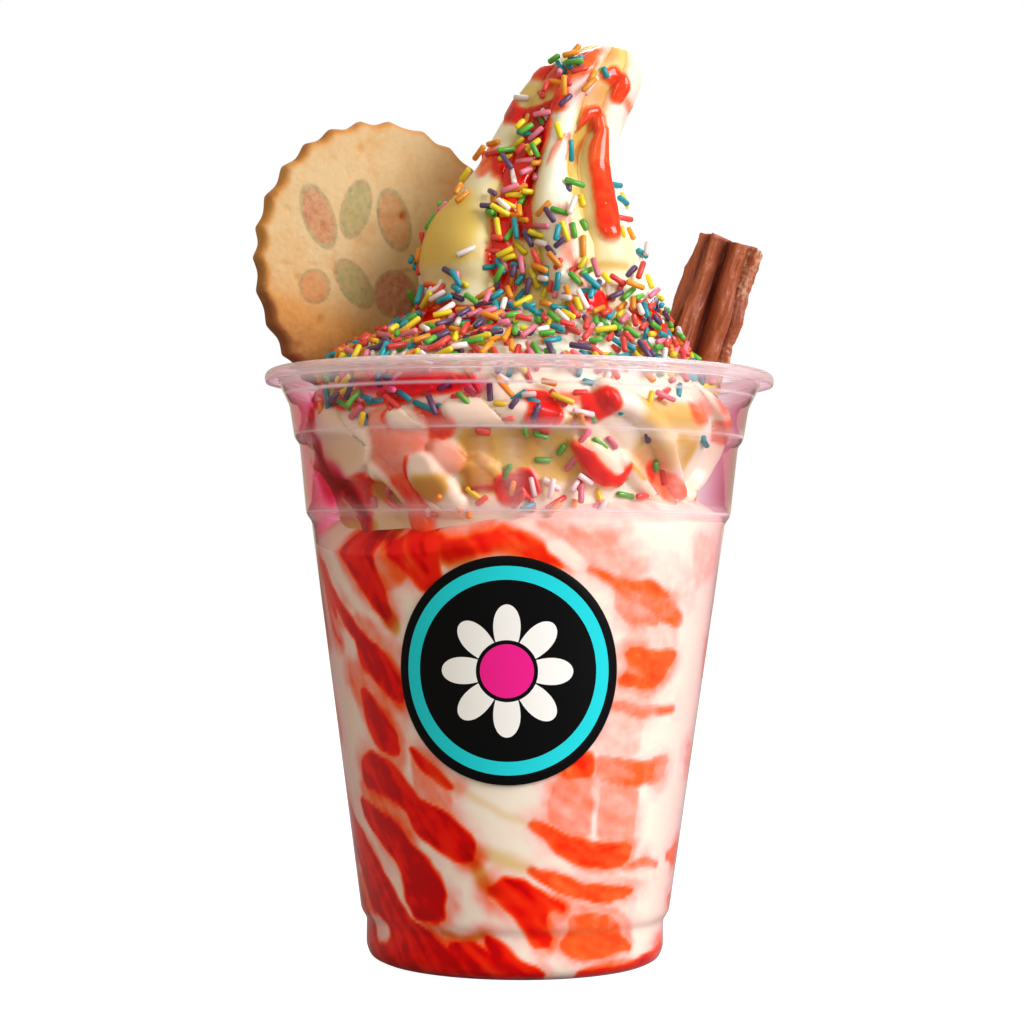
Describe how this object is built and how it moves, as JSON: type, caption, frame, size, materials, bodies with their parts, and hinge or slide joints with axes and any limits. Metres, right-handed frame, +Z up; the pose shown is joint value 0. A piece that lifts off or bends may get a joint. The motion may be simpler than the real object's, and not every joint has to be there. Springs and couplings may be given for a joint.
{
  "type": "ice cream sundae in a clear cup",
  "caption": "Ice cream sundae in a clear plastic cup: marbled soft serve with a fluted peak, red sauce, sugar strands, a round biscuit and a chocolate stick.",
  "frame": {"origin": "middle of the cup's base, on the surface that it stands on", "axes": "+Z up; -Y is the front, where the label is; +X is to the right of a viewer at the front, the side that the peak leans to"},
  "size_m": [0.1001, 0.098, 0.1763],
  "materials": {
    "clear_plastic": "clear, thermoformed, glossy",
    "soft_serve": "smooth pale cream marbled with glossy red sauce, dotted with sugar strands",
    "biscuit": "dry baked biscuit, finely pitted, browned at its edge",
    "chocolate": "folded milk chocolate, dull, with crumbled edges",
    "label": "smooth printed sticker"
  },
  "bodies": {
    "root": {"cup": "clear_plastic", "soft_serve": "soft_serve", "biscuit": "biscuit", "chocolate": "chocolate", "label": "label"}
  },
  "joints": []
}
